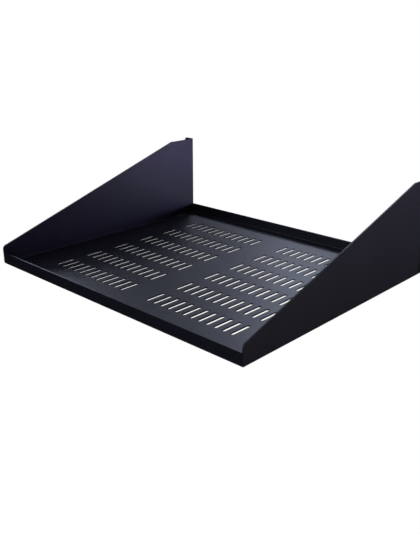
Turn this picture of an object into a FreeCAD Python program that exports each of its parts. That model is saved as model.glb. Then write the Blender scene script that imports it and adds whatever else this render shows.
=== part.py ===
import FreeCAD, Part
import math
import os

import Sketcher
from FreeCAD import Vector

# Vented rack shelf: one sheet of steel, slotted, folded into a pan with tall side panels, and painted.
# Millimetres. +X is to the right, +Y to the back and +Z up, and the open front looks along -Y.
# The origin is under the middle of the shelf: the underside lies at Z = 0, and the front lip's front
# face and the rear faces of the rear lip and the ears lie equally far from Y = 0.

SIZES = [
    ("sheet", 1.9, "thickness of the steel"),
    ("bend_radius", 1.5, "inside radius of every fold"),
    ("outer_width", 447.7, "across the outer faces of the side panels"),
    ("pan_depth", 381.0, "front lip's front face to rear lip's rear face"),
    ("panel_height", 133.0, "underside to the level top of the side panels"),
    ("front_edge_height", 26.2, "where the sloping top would meet the panels' front edge"),
    ("level_top", 53.0, "level part of the panels' top, back to the rear edge"),
    ("nose_radius", 6.0, "rounded corner between the panels' front edge and sloping top"),
    ("front_lip", 17.0, "underside to the front lip's top"),
    ("rear_lip", 17.0, "underside to the rear lip's top"),
    ("slot_width", 4.76, "vent slot, across"),
    ("slot_length", 31.75, "vent slot, end to end, front to back"),
    ("slot_pitch", 12.7, "between the middles of neighbouring slots in a row"),
    ("row_pitch", 50.8, "between the middles of neighbouring rows"),
    ("group_gap", 50.8, "between the two groups' nearest slots, middle to middle"),
    ("first_row", 63.5, "front lip's front face to the middle of the first row"),
    ("side_margin", 50.0, "least room from a slot's middle to the panel's outer face"),
    ("rear_margin", 20.0, "least room from a slot's end to the rear lip's rear face"),
    ("ear_hole_offset", 8.7, "panel's outer face to the middle of the mounting slots"),
    ("ear_hole_edge", 8.75, "middle of the mounting slots to the ear's outer edge"),
    ("ear_hole_rise", 57.15, "between the lower and the upper mounting slot"),
    ("ear_slot_height", 6.8, "mounting slot, up and down"),
    ("ear_slot_length", 10.3, "mounting slot, end to end, across"),
    ("ear_corner", 3.0, "rounded outer corners of the ears"),
    ("ear_lift", 0.6, "floor's fold to the ears' lower edges"),
]

# Places that several features share, as expressions on the sheet
HALF_WIDTH = "(sizes.outer_width / 2)"
INNER_HALF = "(sizes.outer_width / 2 - sizes.sheet)"
REAR = "(sizes.pan_depth / 2)"
FRONT = f"(0 - {REAR})"
EAR_HOLES = f"({HALF_WIDTH} + sizes.ear_hole_offset)"
EAR_TIP = f"({EAR_HOLES} + sizes.ear_hole_edge)"
OUTER_FOLD = "(sizes.bend_radius + sizes.sheet)"
EAR_BOTTOM = f"({OUTER_FOLD} + sizes.ear_lift)"
PAST_TOP = "(sizes.panel_height + sizes.sheet)"

# As many slots and rows as the floor has room for
SLOT_ROOM = f"({HALF_WIDTH} - sizes.side_margin - sizes.group_gap / 2)"
SLOTS_IN_ROW = f"floor({SLOT_ROOM} / sizes.slot_pitch) + 1"
ROW_ROOM = "(sizes.pan_depth - sizes.first_row - sizes.slot_length / 2 - sizes.rear_margin)"
ROWS = f"floor({ROW_ROOM} / sizes.row_pitch) + 1"

# Numbers that stand for a sketch's origin and for a curve's two ends and centre
ORIGIN_POINT = (-1, 1)
START = 1
END = 2
CENTRE = 3
TOLERANCE = 1e-4

# Each round end of a vent is drawn in this many flats, which leave the arc by less than 0.1 mm and keep
# a floor with so many slots light
VENT_FLATS = 6

doc = FreeCAD.newDocument("rack_shelf")
sheet = doc.addObject("Spreadsheet::Sheet", "sizes")
for row, (alias, number, meaning) in enumerate(SIZES, start=1):
    sheet.set(f"A{row}", alias)
    sheet.set(f"B{row}", str(number))
    sheet.setAlias(f"B{row}", alias)
    sheet.set(f"C{row}", meaning)
body = doc.addObject("PartDesign::Body", "shelf")
body.Label = "vented_shelf"
doc.recompute()


def value(expression):
    """What an expression on the sheet comes to."""
    return float(body.evalExpression(expression))


def near(first, second):
    return abs(first - second) < TOLERANCE


def origin_feature(role):
    return next(item for item in body.Origin.OriginFeatures if item.Role == role)


def new_sketch(name, plane):
    """A sketch on one of the body's origin planes."""
    sketch = body.newObject("Sketcher::SketchObject", name)
    sketch.AttachmentSupport = [(origin_feature(plane), "")]
    sketch.MapMode = "FlatFace"
    return sketch


def bind(sketch, kind, where, expression):
    """Adds a measured constraint and ties it to an expression on the sheet."""
    index = sketch.addConstraint(Sketcher.Constraint(kind, *where, value(expression)))
    sketch.setExpression(f"Constraints[{index}]", expression)


def place(sketch, point, across=None, up=None):
    """Holds a point, given as (curve, end), at a place measured from the sketch's origin."""
    if across is not None:
        bind(sketch, "DistanceX", (*ORIGIN_POINT, *point), across)
    if up is not None:
        bind(sketch, "DistanceY", (*ORIGIN_POINT, *point), up)


def outline(sketch, corners):
    """Lines round the corners, joined end to end."""
    points = [Vector(*corner, 0) for corner in corners]
    following = points[1:] + points[:1]
    lines = [sketch.addGeometry(Part.LineSegment(*pair)) for pair in zip(points, following)]
    for line, next_line in zip(lines, lines[1:] + lines[:1]):
        sketch.addConstraint(Sketcher.Constraint("Coincident", line, END, next_line, START))
    return lines


def square_up(sketch, level, upright):
    """Keeps the first lines level and the others upright."""
    for line in level:
        sketch.addConstraint(Sketcher.Constraint("Horizontal", line))
    for line in upright:
        sketch.addConstraint(Sketcher.Constraint("Vertical", line))


def rectangle(sketch, left, right, bottom, top):
    """A rectangle whose four sides are expressions on the sheet."""
    low = (value(left), value(bottom))
    high = (value(right), value(top))
    lines = outline(sketch, [low, (high[0], low[1]), high, (low[0], high[1])])
    square_up(sketch, level=lines[0::2], upright=lines[1::2])
    place(sketch, (lines[0], START), left, bottom)
    place(sketch, (lines[2], START), right, top)


def level_slot(sketch, middle, length, width):
    """A slot along X with round ends: two half circles and the two lines that run tangent to both."""
    across, up = middle
    half_run = f"(({length} - {width}) / 2)"
    radius = value(width) / 2
    centre = Vector(value(across), value(up), 0)
    run = Vector(value(half_run), 0, 0)
    beside = Vector(0, radius, 0)
    normal = Vector(0, 0, 1)
    quarter = math.pi / 2
    right = sketch.addGeometry(Part.ArcOfCircle(
        Part.Circle(centre + run, normal, radius), -quarter, quarter))
    top = sketch.addGeometry(Part.LineSegment(centre + run + beside, centre - run + beside))
    left = sketch.addGeometry(Part.ArcOfCircle(
        Part.Circle(centre - run, normal, radius), quarter, 3 * quarter))
    bottom = sketch.addGeometry(Part.LineSegment(centre - run - beside, centre + run - beside))
    for curve, next_curve in ((right, top), (top, left), (left, bottom), (bottom, right)):
        sketch.addConstraint(Sketcher.Constraint("Tangent", curve, END, next_curve, START))
    sketch.addConstraint(Sketcher.Constraint("Equal", right, left))
    square_up(sketch, level=[top], upright=[])
    bind(sketch, "Radius", (right,), f"{width} / 2")
    place(sketch, (right, CENTRE), f"{across} + {half_run}", up)
    place(sketch, (left, CENTRE), f"{across} - {half_run}")


def vent_slot(sketch, middle, length, width):
    """A slot along Y whose round ends are drawn in flats."""
    across, up = middle
    corners = []
    for end, first_angle in (("+", 0), ("-", 180)):
        end_centre = f"{up} {end} ({length} - {width}) / 2"
        for flat in range(VENT_FLATS + 1):
            angle = first_angle + 180 * flat / VENT_FLATS
            corners.append((f"{across} + {width} / 2 * cos({angle} deg)",
                            f"{end_centre} + {width} / 2 * sin({angle} deg)"))
    lines = outline(sketch, [(value(x), value(y)) for x, y in corners])
    for line, corner in zip(lines, corners):
        place(sketch, (line, START), *corner)


def outside_corner(sketch, across, up, radius):
    """What a round takes off a square corner: two sides of the square and the arc tangent to both."""
    size = value(radius)
    corner = Vector(value(across), value(up), 0)
    low_end = corner - Vector(0, size, 0)
    far_end = corner + Vector(size, 0, 0)
    upright = sketch.addGeometry(Part.LineSegment(low_end, corner))
    level = sketch.addGeometry(Part.LineSegment(corner, far_end))
    circle = Part.Circle(far_end - Vector(0, size, 0), Vector(0, 0, 1), size)
    arc = sketch.addGeometry(Part.ArcOfCircle(circle, math.pi / 2, math.pi))
    square_up(sketch, level=[level], upright=[upright])
    sketch.addConstraint(Sketcher.Constraint("Coincident", upright, END, level, START))
    sketch.addConstraint(Sketcher.Constraint("Tangent", level, END, arc, START))
    sketch.addConstraint(Sketcher.Constraint("Tangent", arc, END, upright, START))
    bind(sketch, "Radius", (arc,), radius)
    place(sketch, (level, START), across, up)


def pad(name, sketch, length):
    plate = body.newObject("PartDesign::Pad", name)
    plate.Profile = sketch
    plate.setExpression("Length", length)
    doc.recompute()
    return plate


def pocket(name, sketch, side="One side", backwards=False):
    """A cut right through, along the sketch's normal, which has to take some of the solid away."""
    before = body.Tip.Shape.Volume
    cut = body.newObject("PartDesign::Pocket", name)
    cut.Profile = sketch
    cut.Type = "ThroughAll"
    cut.SideType = side
    cut.Reversed = backwards
    doc.recompute()
    if cut.Shape.isNull() or cut.Shape.Volume > before - TOLERANCE:
        raise RuntimeError(f"{name} cuts nothing")
    return cut


def fillet(name, radius, lies_there):
    """Rounds each edge of the solid so far whose middle and ends all lie where the test says."""
    base = body.Tip
    chosen = []
    for number, edge in enumerate(base.Shape.Edges, start=1):
        points = [vertex.Point for vertex in edge.Vertexes] + [edge.CenterOfMass]
        if all(lies_there(point) for point in points):
            chosen.append(f"Edge{number}")
    rounding = body.newObject("PartDesign::Fillet", name)
    rounding.Base = (base, chosen)
    rounding.setExpression("Radius", radius)
    doc.recompute()


# Pan: a block with rounded lower edges, hollowed so that floor and walls keep the sheet's thickness
block_sketch = new_sketch("pan_outline", "XY_Plane")
rectangle(block_sketch, f"0 - {HALF_WIDTH}", HALF_WIDTH, FRONT, REAR)
pad("pan_block", block_sketch, "sizes.panel_height")
fillet("pan_folds_outside", OUTER_FOLD, lambda point: near(point.z, 0))

hollow_sketch = new_sketch("pan_inside", "XY_Plane")
hollow_sketch.setExpression("AttachmentOffset.Base.z", "sizes.sheet")
rectangle(hollow_sketch, f"0 - {INNER_HALF}", INNER_HALF,
          f"{FRONT} + sizes.sheet", f"{REAR} - sizes.sheet")
pocket("pan_hollow", hollow_sketch, backwards=True)
floor_top = value("sizes.sheet")
inner_half = value(INNER_HALF)
fillet("pan_folds_inside", "sizes.bend_radius",
       lambda point: near(point.z, floor_top) and abs(point.x) < inner_half + TOLERANCE)

# Lips: the front and rear walls are cut down between the side panels
front_sketch = new_sketch("above_front_lip", "XZ_Plane")
rectangle(front_sketch, f"0 - {INNER_HALF}", INNER_HALF, "sizes.front_lip", PAST_TOP)
pocket("front_opening", front_sketch, backwards=True)

rear_sketch = new_sketch("above_rear_lip", "XZ_Plane")
rectangle(rear_sketch, f"0 - {INNER_HALF}", INNER_HALF, "sizes.rear_lip", PAST_TOP)
pocket("rear_opening", rear_sketch)

# Side panels: the top slopes from the low front edge up to the level part at the rear.
# The cut's long side runs through the two ends of the slope and a little past both.
slope_sketch = new_sketch("above_slope", "YZ_Plane")
slope_ends = [(FRONT, "sizes.front_edge_height"), (f"{REAR} - sizes.level_top", "sizes.panel_height")]
low_end, high_end = [Vector(value(across), value(up), 0) for across, up in slope_ends]
steepness = (high_end.y - low_end.y) / (high_end.x - low_end.x)
ahead = value(f"{FRONT} - sizes.sheet")
above = value(PAST_TOP)
slope, top_side, front_side = outline(slope_sketch, [
    (ahead, low_end.y - steepness * (low_end.x - ahead)),
    (high_end.x + (above - high_end.y) / steepness, above),
    (ahead, above),
])
square_up(slope_sketch, level=[top_side], upright=[front_side])
for point, (across, up) in zip((low_end, high_end), slope_ends):
    knot = slope_sketch.addGeometry(Part.Point(point), True)
    place(slope_sketch, (knot, START), across, up)
    slope_sketch.addConstraint(Sketcher.Constraint("PointOnObject", knot, START, slope))
place(slope_sketch, (top_side, END), f"{FRONT} - sizes.sheet", PAST_TOP)
pocket("panel_slope", slope_sketch, side="Symmetric")
fillet("panel_noses", "sizes.nose_radius",
       lambda point: near(point.y, low_end.x) and near(point.z, low_end.y))

# Ears: each panel folds outwards at its rear edge, with two slots for mounting screws
ear_sketch = new_sketch("ear_section", "XY_Plane")
ear_sketch.setExpression("AttachmentOffset.Base.z", EAR_BOTTOM)
ear_front = f"({REAR} - sizes.sheet)"
rectangle(ear_sketch, INNER_HALF, EAR_TIP, ear_front, REAR)
outer_x, tip_x, front_y = [value(edge) for edge in (HALF_WIDTH, EAR_TIP, ear_front)]
ear = pad("right_ear", ear_sketch, f"sizes.panel_height - {EAR_BOTTOM}")

ear_slot_sketch = new_sketch("ear_slot_outlines", "XZ_Plane")
for sign in "+-":
    slot_height = f"(sizes.panel_height / 2 {sign} sizes.ear_hole_rise / 2)"
    level_slot(ear_slot_sketch, (EAR_HOLES, slot_height),
               "sizes.ear_slot_length", "sizes.ear_slot_height")
ear_slots = pocket("right_ear_slots", ear_slot_sketch)

# The fold is round on its outside from the rear lip's top upwards. Below that the lip closes the corner.
fold_sketch = new_sketch("ear_fold_outline", "XY_Plane")
fold_sketch.setExpression("AttachmentOffset.Base.z", "sizes.rear_lip")
outside_corner(fold_sketch, INNER_HALF, REAR, OUTER_FOLD)
ear_fold = pocket("right_ear_fold", fold_sketch, backwards=True)

ears = body.newObject("PartDesign::Mirrored", "both_ears")
ears.Originals = [ear, ear_slots, ear_fold]
ears.MirrorPlane = (origin_feature("YZ_Plane"), [""])
body.Tip = ears
doc.recompute()
fillet("ear_folds_inside", "sizes.bend_radius",
       lambda point: near(abs(point.x), outer_x) and near(point.y, front_y))
ear_ends = (value(EAR_BOTTOM), value("sizes.panel_height"))
fillet("ear_corners", "sizes.ear_corner",
       lambda point: near(abs(point.x), tip_x) and any(near(point.z, end) for end in ear_ends))

# Vents: one slot, repeated along its row and over the rows, and mirrored to the other group
slot_sketch = new_sketch("slot_outline", "XY_Plane")
vent_slot(slot_sketch, ("sizes.group_gap / 2", f"({FRONT} + sizes.first_row)"),
          "sizes.slot_length", "sizes.slot_width")
first_slot = pocket("first_slot", slot_sketch, side="Symmetric")

vents = body.newObject("PartDesign::MultiTransform", "vents")
vents.Originals = [first_slot]
steps = []
for name, axis, pitch, count in (
        ("slots_in_row", "X_Axis", "sizes.slot_pitch", SLOTS_IN_ROW),
        ("rows_of_slots", "Y_Axis", "sizes.row_pitch", ROWS)):
    pattern = body.newObject("PartDesign::LinearPattern", name)
    pattern.Direction = (origin_feature(axis), [""])
    pattern.Mode = "Spacing"
    pattern.setExpression("Offset", pitch)
    pattern.setExpression("Occurrences", count)
    steps.append(pattern)
other_group = body.newObject("PartDesign::Mirrored", "other_group")
other_group.MirrorPlane = (origin_feature("YZ_Plane"), [""])
steps.append(other_group)
vents.Transformations = steps
body.Tip = vents
doc.recompute()

# Nothing is written unless every feature has worked
failed = [item.Name for item in doc.Objects if {"Invalid", "Error"} & set(item.State)]
if failed:
    raise RuntimeError(f"these features failed: {failed}")
shape = body.Shape
if shape.isNull() or not shape.isValid() or len(shape.Solids) != 1:
    raise RuntimeError("the shelf isn't one valid solid")

os.makedirs("parts", exist_ok=True)
shape.exportStep(f"parts/{body.Label}.step")
box = shape.BoundBox
print(f"{body.Label}: {box.XLength:.1f} x {box.YLength:.1f} x {box.ZLength:.1f} mm")
print(f"volume {shape.Volume / 1000:.1f} cm3, {len(shape.Faces)} faces")
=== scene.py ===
# %% [markdown]
# A vented rack shelf: one sheet of steel, slotted, folded into a shallow pan with tall sloping sides,
# and covered with satin black powder coat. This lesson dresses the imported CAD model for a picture. The
# CAD model is the frame: its sizes are not changed here, and every piece stands where it says. The
# steps are the camera, the folded sheet with softened edges, the paint, and then a studio to see it in.

import math

import bmesh
import bpy
from mathutils import Euler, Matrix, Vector


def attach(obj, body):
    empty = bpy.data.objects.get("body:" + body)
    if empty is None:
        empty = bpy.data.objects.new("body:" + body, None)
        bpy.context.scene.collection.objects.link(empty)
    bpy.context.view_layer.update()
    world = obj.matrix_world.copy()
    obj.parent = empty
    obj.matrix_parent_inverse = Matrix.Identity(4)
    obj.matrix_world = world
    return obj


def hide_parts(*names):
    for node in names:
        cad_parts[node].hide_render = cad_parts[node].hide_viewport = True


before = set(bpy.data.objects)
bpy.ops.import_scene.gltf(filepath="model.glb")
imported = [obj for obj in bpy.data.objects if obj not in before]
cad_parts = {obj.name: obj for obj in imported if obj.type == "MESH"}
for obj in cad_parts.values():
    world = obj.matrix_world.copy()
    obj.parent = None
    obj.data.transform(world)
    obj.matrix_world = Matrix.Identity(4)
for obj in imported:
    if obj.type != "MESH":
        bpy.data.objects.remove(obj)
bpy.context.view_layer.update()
MM = 0.001

# %% [markdown]
# The camera comes first, because everything is compared through it. The shelf is seen from the front
# right corner and a little from above. A lens is chosen by matching how quickly the far edges shrink:
# a long lens flattens the pan, a short one splays it. Here the lens, the place and the angles were solved
# together from the shelf's edges and slots. The small roll levels the picture to the shelf's own edges.

# %% Place the camera
EYE = Vector((0.60561, -0.64139, 0.32277))
HEADING = math.radians(43.4518)
TILT_DOWN = math.radians(20.0344)
ROLL = math.radians(0.042)
LENS = 45.244
SENSOR_WIDTH = 36

camera_data = bpy.data.cameras.new("camera")
camera_data.lens = LENS
camera_data.sensor_width = SENSOR_WIDTH
camera = bpy.data.objects.new("camera", camera_data)
camera.location = EYE
turned = Euler((math.pi / 2 - TILT_DOWN, 0, HEADING)).to_matrix() @ Euler((0, 0, ROLL)).to_matrix()
camera.rotation_euler = turned.to_euler()
bpy.context.scene.collection.objects.link(camera)
bpy.context.scene.camera = camera
bpy.context.scene.view_settings.view_transform = "Standard"
print("camera is", round(EYE.length, 3), "m from the shelf's origin")

# %% [markdown]
# The sheet itself. On the real shelf a punch cuts the slots, a press brake folds the walls, and the
# paint then rounds every cut edge a little. The CAD model has the folds and the slots but leaves cut
# edges perfectly sharp, and a sharp edge never catches the light. One could model the whole pan again,
# but its shape is right already, so a copy of it is merged, its flat faces are joined up, and the cut
# edges alone get a small round. A note is kept of which faces are edges, because the paint needs it.
# Where rounds run into each other they can leave faces of no size, and those are dissolved at the end.

# %% Make the folded sheet
EDGE_ROUND = 0.1 * MM
SAME_PLACE = 0.002 * MM
FLAT = math.radians(0.5)
CUT_EDGE = math.radians(40)


def folded_sheet(name, source):
    """A copy of the CAD sheet with rounded cut edges, as a new object at the origin."""
    sheet = bmesh.new()
    sheet.from_mesh(source.data)
    rim = sheet.faces.layers.float.new("rim")
    bmesh.ops.remove_doubles(sheet, verts=sheet.verts, dist=SAME_PLACE)
    bmesh.ops.dissolve_limit(sheet, angle_limit=FLAT, verts=sheet.verts, edges=sheet.edges)
    cut_edges = [edge for edge in sheet.edges if edge.is_convex and edge.calc_face_angle(0) > CUT_EDGE]
    rounded = bmesh.ops.bevel(
        sheet,
        geom=cut_edges,
        affect="EDGES",
        offset=EDGE_ROUND,
        segments=2,
        profile=0.5,
        material=-1,
        clamp_overlap=False,
    )
    for face in rounded["faces"]:
        face[rim] = 1
    bmesh.ops.dissolve_degenerate(sheet, dist=SAME_PLACE, edges=sheet.edges)
    for face in sheet.faces:
        face.smooth = True
    for edge in sheet.edges:
        edge.smooth = edge.calc_face_angle(0) < CUT_EDGE
    mesh = bpy.data.meshes.new(name)
    sheet.to_mesh(mesh)
    open_edges = sum(1 for edge in sheet.edges if len(edge.link_faces) != 2)
    print(name, "has", len(cut_edges), "cut edges,", len(sheet.faces), "faces and", open_edges, "open edges")
    sheet.free()
    return bpy.data.objects.new(name, mesh)


shelf = folded_sheet("folded_sheet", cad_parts["vented_shelf"])
bpy.context.scene.collection.objects.link(shelf)
even_shading = shelf.modifiers.new("even_shading", "WEIGHTED_NORMAL")
even_shading.keep_sharp = True
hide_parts("vented_shelf")
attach(shelf, "root")
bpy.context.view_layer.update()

# %% [markdown]
# Paint is made of shader nodes, and maths on nodes is easier to read as a sum than as a web of wires.
# A small class stands for one output of a node. Adding, subtracting or multiplying it makes a Math
# node, also when the plain number comes first. Every other node comes from one method of the bench.


# %% Set up the paint bench
class Wire:
    """One output of a node. Sums, differences and products of wires make their own Math nodes."""

    def __init__(self, bench, socket):
        self.bench = bench
        self.socket = socket

    def maths(self, operation, first, second):
        return self.bench.node("ShaderNodeMath", {"operation": operation}, {0: first, 1: second})

    def __add__(self, other):
        return self.maths("ADD", self, other)

    def __radd__(self, other):
        return self.maths("ADD", other, self)

    def __sub__(self, other):
        return self.maths("SUBTRACT", self, other)

    def __rsub__(self, other):
        return self.maths("SUBTRACT", other, self)

    def __mul__(self, other):
        return self.maths("MULTIPLY", self, other)

    def __rmul__(self, other):
        return self.maths("MULTIPLY", other, self)


class Bench:
    """A node tree to work on, emptied first."""

    def __init__(self, tree):
        self.tree = tree
        tree.nodes.clear()

    def node(self, kind, settings=None, sockets=None, output=0):
        """Adds a node, makes its settings, then fills or links its sockets. Returns one of its outputs."""
        made = self.tree.nodes.new(kind)
        for name, setting in (settings or {}).items():
            setattr(made, name, setting)
        for name, given in (sockets or {}).items():
            if isinstance(given, Wire):
                self.tree.links.new(given.socket, made.inputs[name])
            else:
                made.inputs[name].default_value = given
        return Wire(self, made.outputs[output]) if made.outputs else None


def new_finish(name):
    """A named material and the bench for its nodes."""
    finish = bpy.data.materials.new(name)
    finish.use_nodes = True
    return finish, Bench(finish.node_tree)


print("paint bench ready")

# %% [markdown]
# Satin black powder coat is a dry paint that melts in an oven. It is almost black, with a touch of blue
# violet in it, and as it flows it sets into faint ripples, the orange peel, about a millimetre or two
# across. The gloss changes a little from place to place where the coat is thicker or has been handled.
# On the rounded cut edges it flows thin and shows slightly greyer. One could use one flat black, but
# then the broad floor would look printed. Three noises of different size make the difference here.

# %% Mix the powder coat
BLACK = (0.0038, 0.0034, 0.0054, 1)
BLACK_DEEP = (0.0028, 0.0025, 0.0042, 1)
THIN_EDGE = (0.007, 0.0065, 0.009, 1)
LEAST_THIN = 0.5
GLOSS_ROUGHNESS = 0.42
CLOUD_GLOSS = 0.08
GRAIN_GLOSS = 0.05
PAINT_IOR = 1.5
CLOUD_PER_METRE = 22
PEEL_PER_METRE = 620
GRAIN_PER_METRE = 2600
PEEL_DEPTH = 0.25 * MM
PEEL_STRENGTH = 0.5
GRAIN_RELIEF = 0.25
NOISE_MIDDLE = 0.5
NOISE_ROUGHNESS = 0.5

paint, bench = new_finish("satin_black_powder_coat")
place = bench.node("ShaderNodeTexCoord", output="Object")


def noise(per_metre, detail):
    """A noise of that many lumps in a metre, from 0 to 1."""
    return bench.node(
        "ShaderNodeTexNoise",
        {"noise_dimensions": "3D"},
        {"Vector": place, "Scale": per_metre, "Detail": detail, "Roughness": NOISE_ROUGHNESS},
    )


clouds = noise(CLOUD_PER_METRE, detail=4)
peel = noise(PEEL_PER_METRE, detail=2)
grain = noise(GRAIN_PER_METRE, detail=1)
rim = bench.node("ShaderNodeAttribute", {"attribute_name": "rim"}, output="Fac")

coat = bench.node("ShaderNodeMix", {"data_type": "RGBA"}, {0: clouds, 6: BLACK_DEEP, 7: BLACK}, output=2)
thin = rim * (LEAST_THIN + (1 - LEAST_THIN) * clouds)
colour = bench.node("ShaderNodeMix", {"data_type": "RGBA"}, {0: thin, 6: coat, 7: THIN_EDGE}, output=2)
roughness = GLOSS_ROUGHNESS + CLOUD_GLOSS * (clouds - NOISE_MIDDLE) + GRAIN_GLOSS * (grain - NOISE_MIDDLE)
relief = bench.node(
    "ShaderNodeBump",
    sockets={"Strength": PEEL_STRENGTH, "Distance": PEEL_DEPTH, "Height": peel + GRAIN_RELIEF * grain},
)
surface = bench.node(
    "ShaderNodeBsdfPrincipled",
    sockets={"Base Color": colour, "Roughness": roughness, "Normal": relief, "IOR": PAINT_IOR},
)
bench.node("ShaderNodeOutputMaterial", sockets={"Surface": surface})
shelf.data.materials.clear()
shelf.data.materials.append(paint)
print("powder coat has", len(paint.node_tree.nodes), "nodes")

# %% [markdown]
# The studio floor. The shelf hangs from its ears in use, so the pale floor lies well below it, where
# it catches the shadow but leaves daylight in the slots. A large floor would be mirrored by the sides,
# so it is a round board. Towards its rim it fades to plain white for the camera, so that no edge shows.

# %% Lay the floor
FLOOR_DROP = 1.0
FLOOR_RADIUS = 1.0
FLOOR_SIDES = 96
MIDDLE_WHITENED = 0.6
ALL_WHITE_FROM = 0.5 * FLOOR_RADIUS
PALE = (0.8, 0.8, 0.81, 1)
WHITE = (1, 1, 1, 1)

board = bmesh.new()
bmesh.ops.create_circle(board, cap_ends=True, segments=FLOOR_SIDES, radius=FLOOR_RADIUS)
bmesh.ops.translate(board, verts=board.verts, vec=(0, 0, -FLOOR_DROP))
floor_mesh = bpy.data.meshes.new("studio_floor")
board.to_mesh(floor_mesh)
board.free()
studio_floor = bpy.data.objects.new("studio_floor", floor_mesh)
bpy.context.scene.collection.objects.link(studio_floor)

floor_finish, bench = new_finish("pale_floor")
place = bench.node("ShaderNodeTexCoord", output="Object")
level = bench.node("ShaderNodeVectorMath", {"operation": "MULTIPLY"}, {0: place, 1: (1, 1, 0)})
reach = bench.node("ShaderNodeVectorMath", {"operation": "LENGTH"}, {0: level}, output="Value")
fade = bench.node(
    "ShaderNodeMapRange",
    {"interpolation_type": "SMOOTHSTEP"},
    {"Value": reach, "From Min": 0.0, "From Max": ALL_WHITE_FROM, "To Min": MIDDLE_WHITENED, "To Max": 1.0},
)
seen = bench.node("ShaderNodeLightPath", output="Is Camera Ray")
matt = bench.node("ShaderNodeBsdfDiffuse", sockets={"Color": PALE})
glow = bench.node("ShaderNodeEmission", sockets={"Color": WHITE, "Strength": 1.0})
mixed = bench.node("ShaderNodeMixShader", sockets={0: fade * seen, 1: matt, 2: glow})
bench.node("ShaderNodeOutputMaterial", sockets={"Surface": mixed})
floor_mesh.materials.append(floor_finish)
print("floor lies", FLOOR_DROP, "m below the shelf")

# %% [markdown]
# The backdrop. Straight on, and through the slots, it is plain white. Black paint shows its form by what
# it mirrors, and it would go grey in a room that is white all round, so in reflections the backdrop is
# white only where it stands, low behind the shelf on the right. The rest of the room is dark.

# %% Hang the backdrop
BACKDROP_CENTRE = Vector((0.64, 0.77, 0.0)).normalized()
BACKDROP_RIM = math.cos(math.radians(12))
BACKDROP_HEART = math.cos(math.radians(5))
DARK_ROOM = (0.004, 0.004, 0.005, 1)

studio = bpy.data.worlds.new("studio")
studio.use_nodes = True
bpy.context.scene.world = studio
bench = Bench(studio.node_tree)
towards = bench.node("ShaderNodeTexCoord", output="Generated")
facing = bench.node(
    "ShaderNodeVectorMath",
    {"operation": "DOT_PRODUCT"},
    {0: towards, 1: BACKDROP_CENTRE},
    output="Value",
)
backdrop = bench.node(
    "ShaderNodeMapRange",
    {"interpolation_type": "SMOOTHSTEP"},
    {"Value": facing, "From Min": BACKDROP_RIM, "From Max": BACKDROP_HEART, "To Min": 0.0, "To Max": 1.0},
)
straight = bench.node("ShaderNodeLightPath", output="Is Camera Ray")
through = bench.node("ShaderNodeLightPath", output="Is Transmission Ray")
mirrored = bench.node("ShaderNodeLightPath", output="Is Glossy Ray")
shown = straight + through + mirrored * backdrop
sky = bench.node("ShaderNodeMix", {"data_type": "RGBA"}, {0: shown, 6: DARK_ROOM, 7: WHITE}, output=2)
background = bench.node("ShaderNodeBackground", sockets={"Color": sky, "Strength": 1.0})
bench.node("ShaderNodeOutputWorld", sockets={"Surface": background})
print("backdrop has", len(studio.node_tree.nodes), "nodes")

# %% [markdown]
# The lamps are soft boxes. Two far off on the left shine over the left panel and lay a sheen on the
# floor, and a nearer one, behind and above, carries that sheen on to the rear lip. Two low ones behind
# on the right light the inside of the left panel, where the nearer one makes its rear corner brightest.
# One on the right lights the panel nearest the camera, one in front picks out the two lips, and a big
# one overhead fills in. The last three, high in front and low on either side, show the other faces
# when the shelf is turned. Each place is given as a compass angle from straight behind, a height above
# the horizon and half the width and height that it seems to have, as that is what shiny paint mirrors.

# %% Set up the lamps
AIM = Vector((0, 0, 0.05))
FAR = 6.0
COOL = (0.7, 0.765, 1.0)
NEUTRAL = (1.0, 0.95, 0.92)
VIOLET = (0.46, 0.43, 1.0)


def softbox(name, compass, rise, spread, brightness, colour, distance=FAR):
    """A soft lamp that looks at the shelf. Angles in degrees. A brightness of 1 is that of a white sheet."""
    around, above = math.radians(compass), math.radians(rise)
    half_wide, half_high = spread
    flat = math.cos(above)
    way = Vector((math.sin(around) * flat, math.cos(around) * flat, math.sin(above)))
    lamp = bpy.data.lights.new(name, "AREA")
    lamp.shape = "RECTANGLE"
    lamp.size = 2 * distance * math.tan(math.radians(half_wide))
    lamp.size_y = 2 * distance * math.tan(math.radians(half_high))
    lamp.color = colour
    lamp.energy = brightness * math.pi * lamp.size * lamp.size_y
    stand = bpy.data.objects.new(name, lamp)
    stand.location = distance * way + AIM
    stand.rotation_euler = (-way).to_track_quat("-Z", "Y").to_euler()
    stand.visible_camera = False
    bpy.context.scene.collection.objects.link(stand)
    return stand


softbox("back_left_softbox", -34.0, 34.5, spread=(8.0, 8.5), brightness=4.1, colour=COOL)
softbox("left_softbox", -70.0, 20.5, spread=(11.0, 10.0), brightness=3.9, colour=COOL)
softbox("rear_softbox", -21.3, 24.6, spread=(8.0, 6.0), brightness=4.1, colour=COOL, distance=0.7)
softbox("back_right_softbox", 46.0, 3.0, spread=(6.0, 4.0), brightness=14.0, colour=VIOLET)
softbox("low_rear_softbox", 14.0, -1.2, spread=(9.0, 5.0), brightness=5.4, colour=VIOLET, distance=0.5)
softbox("right_softbox", 62.0, -9.0, spread=(13.0, 9.0), brightness=1.35, colour=NEUTRAL)
softbox("front_softbox", -164.0, 4.0, spread=(20.0, 13.0), brightness=1.3, colour=COOL)
softbox("overhead_softbox", 0.0, 90.0, spread=(30.0, 30.0), brightness=0.6, colour=COOL)
softbox("high_front_softbox", 180.0, 30.0, spread=(45.0, 9.0), brightness=2.0, colour=COOL)
softbox("low_right_softbox", 130.0, -14.0, spread=(18.0, 12.0), brightness=1.8, colour=COOL)
softbox("low_left_softbox", -42.0, -22.0, spread=(18.0, 12.0), brightness=1.8, colour=COOL)
